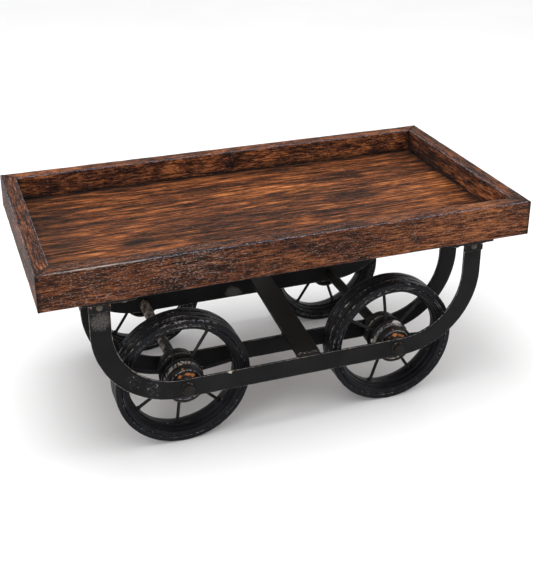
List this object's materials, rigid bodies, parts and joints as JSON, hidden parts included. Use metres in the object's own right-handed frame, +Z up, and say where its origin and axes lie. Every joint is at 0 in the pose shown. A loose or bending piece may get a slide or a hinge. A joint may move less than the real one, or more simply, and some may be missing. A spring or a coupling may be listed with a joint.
{
  "type": "decorative flat tray cart",
  "caption": "Shallow timber tray on bent flat-bar straps, with through axles and spoked iron wheels that turn freely.",
  "frame": {"origin": "on the ground under the middle of the tray", "axes": "+X along the tray, +Y across it and away from the near side, +Z up"},
  "size_m": [0.61, 0.312, 0.2685],
  "materials": {
    "rail_wood": "dark stained, brushed grain, worn edges",
    "floor_wood": "stained, streaked grain, satin",
    "frame_iron": "black satin paint, scratched and worn at the edges",
    "wheel_iron": "black paint over rough iron, worn on the tread",
    "hub_iron": "black paint, rubbed through to rust and bare metal",
    "fixings": "tarnished steel"
  },
  "bodies": {
    "cart": {"rail_near": "rail_wood", "rail_far": "rail_wood", "rail_left": "rail_wood", "rail_right": "rail_wood", "floor_board_near": "floor_wood", "floor_board_middle": "floor_wood", "floor_board_far": "floor_wood", "strap_near_outer": "frame_iron", "strap_near_inner": "frame_iron", "strap_far_inner": "frame_iron", "strap_far_outer": "frame_iron", "cross_bar": "frame_iron", "axle_left": "frame_iron", "axle_right": "frame_iron", "axle_washers": "fixings", "plate_near_left": "frame_iron", "plate_near_right": "frame_iron", "plate_far_left": "frame_iron", "plate_far_right": "frame_iron", "cleats_near_left": "frame_iron", "cleats_near_right": "frame_iron", "cleats_far_left": "frame_iron", "cleats_far_right": "frame_iron", "cleat_rivets": "fixings", "plate_screws": "fixings"},
    "wheel_near_left": {"rim_near_left": "wheel_iron", "spokes_near_left": "wheel_iron", "hub_near_left": "hub_iron", "hub_collars_near_left": "hub_iron"},
    "wheel_near_right": {"rim_near_right": "wheel_iron", "spokes_near_right": "wheel_iron", "hub_near_right": "hub_iron", "hub_collars_near_right": "hub_iron"},
    "wheel_far_left": {"rim_far_left": "wheel_iron", "spokes_far_left": "wheel_iron", "hub_far_left": "hub_iron", "hub_collars_far_left": "hub_iron"},
    "wheel_far_right": {"rim_far_right": "wheel_iron", "spokes_far_right": "wheel_iron", "hub_far_right": "hub_iron", "hub_collars_far_right": "hub_iron"}
  },
  "joints": [
    {"name": "wheel_near_left_spin", "type": "hinge", "parent": "cart", "child": "wheel_near_left", "pos_m": [-0.138, -0.111, 0.084], "axis": [0, 1, 0], "continuous": true},
    {"name": "wheel_near_right_spin", "type": "hinge", "parent": "cart", "child": "wheel_near_right", "pos_m": [0.138, -0.111, 0.084], "axis": [0, 1, 0], "continuous": true},
    {"name": "wheel_far_left_spin", "type": "hinge", "parent": "cart", "child": "wheel_far_left", "pos_m": [-0.138, 0.111, 0.084], "axis": [0, 1, 0], "continuous": true},
    {"name": "wheel_far_right_spin", "type": "hinge", "parent": "cart", "child": "wheel_far_right", "pos_m": [0.138, 0.111, 0.084], "axis": [0, 1, 0], "continuous": true}
  ]
}
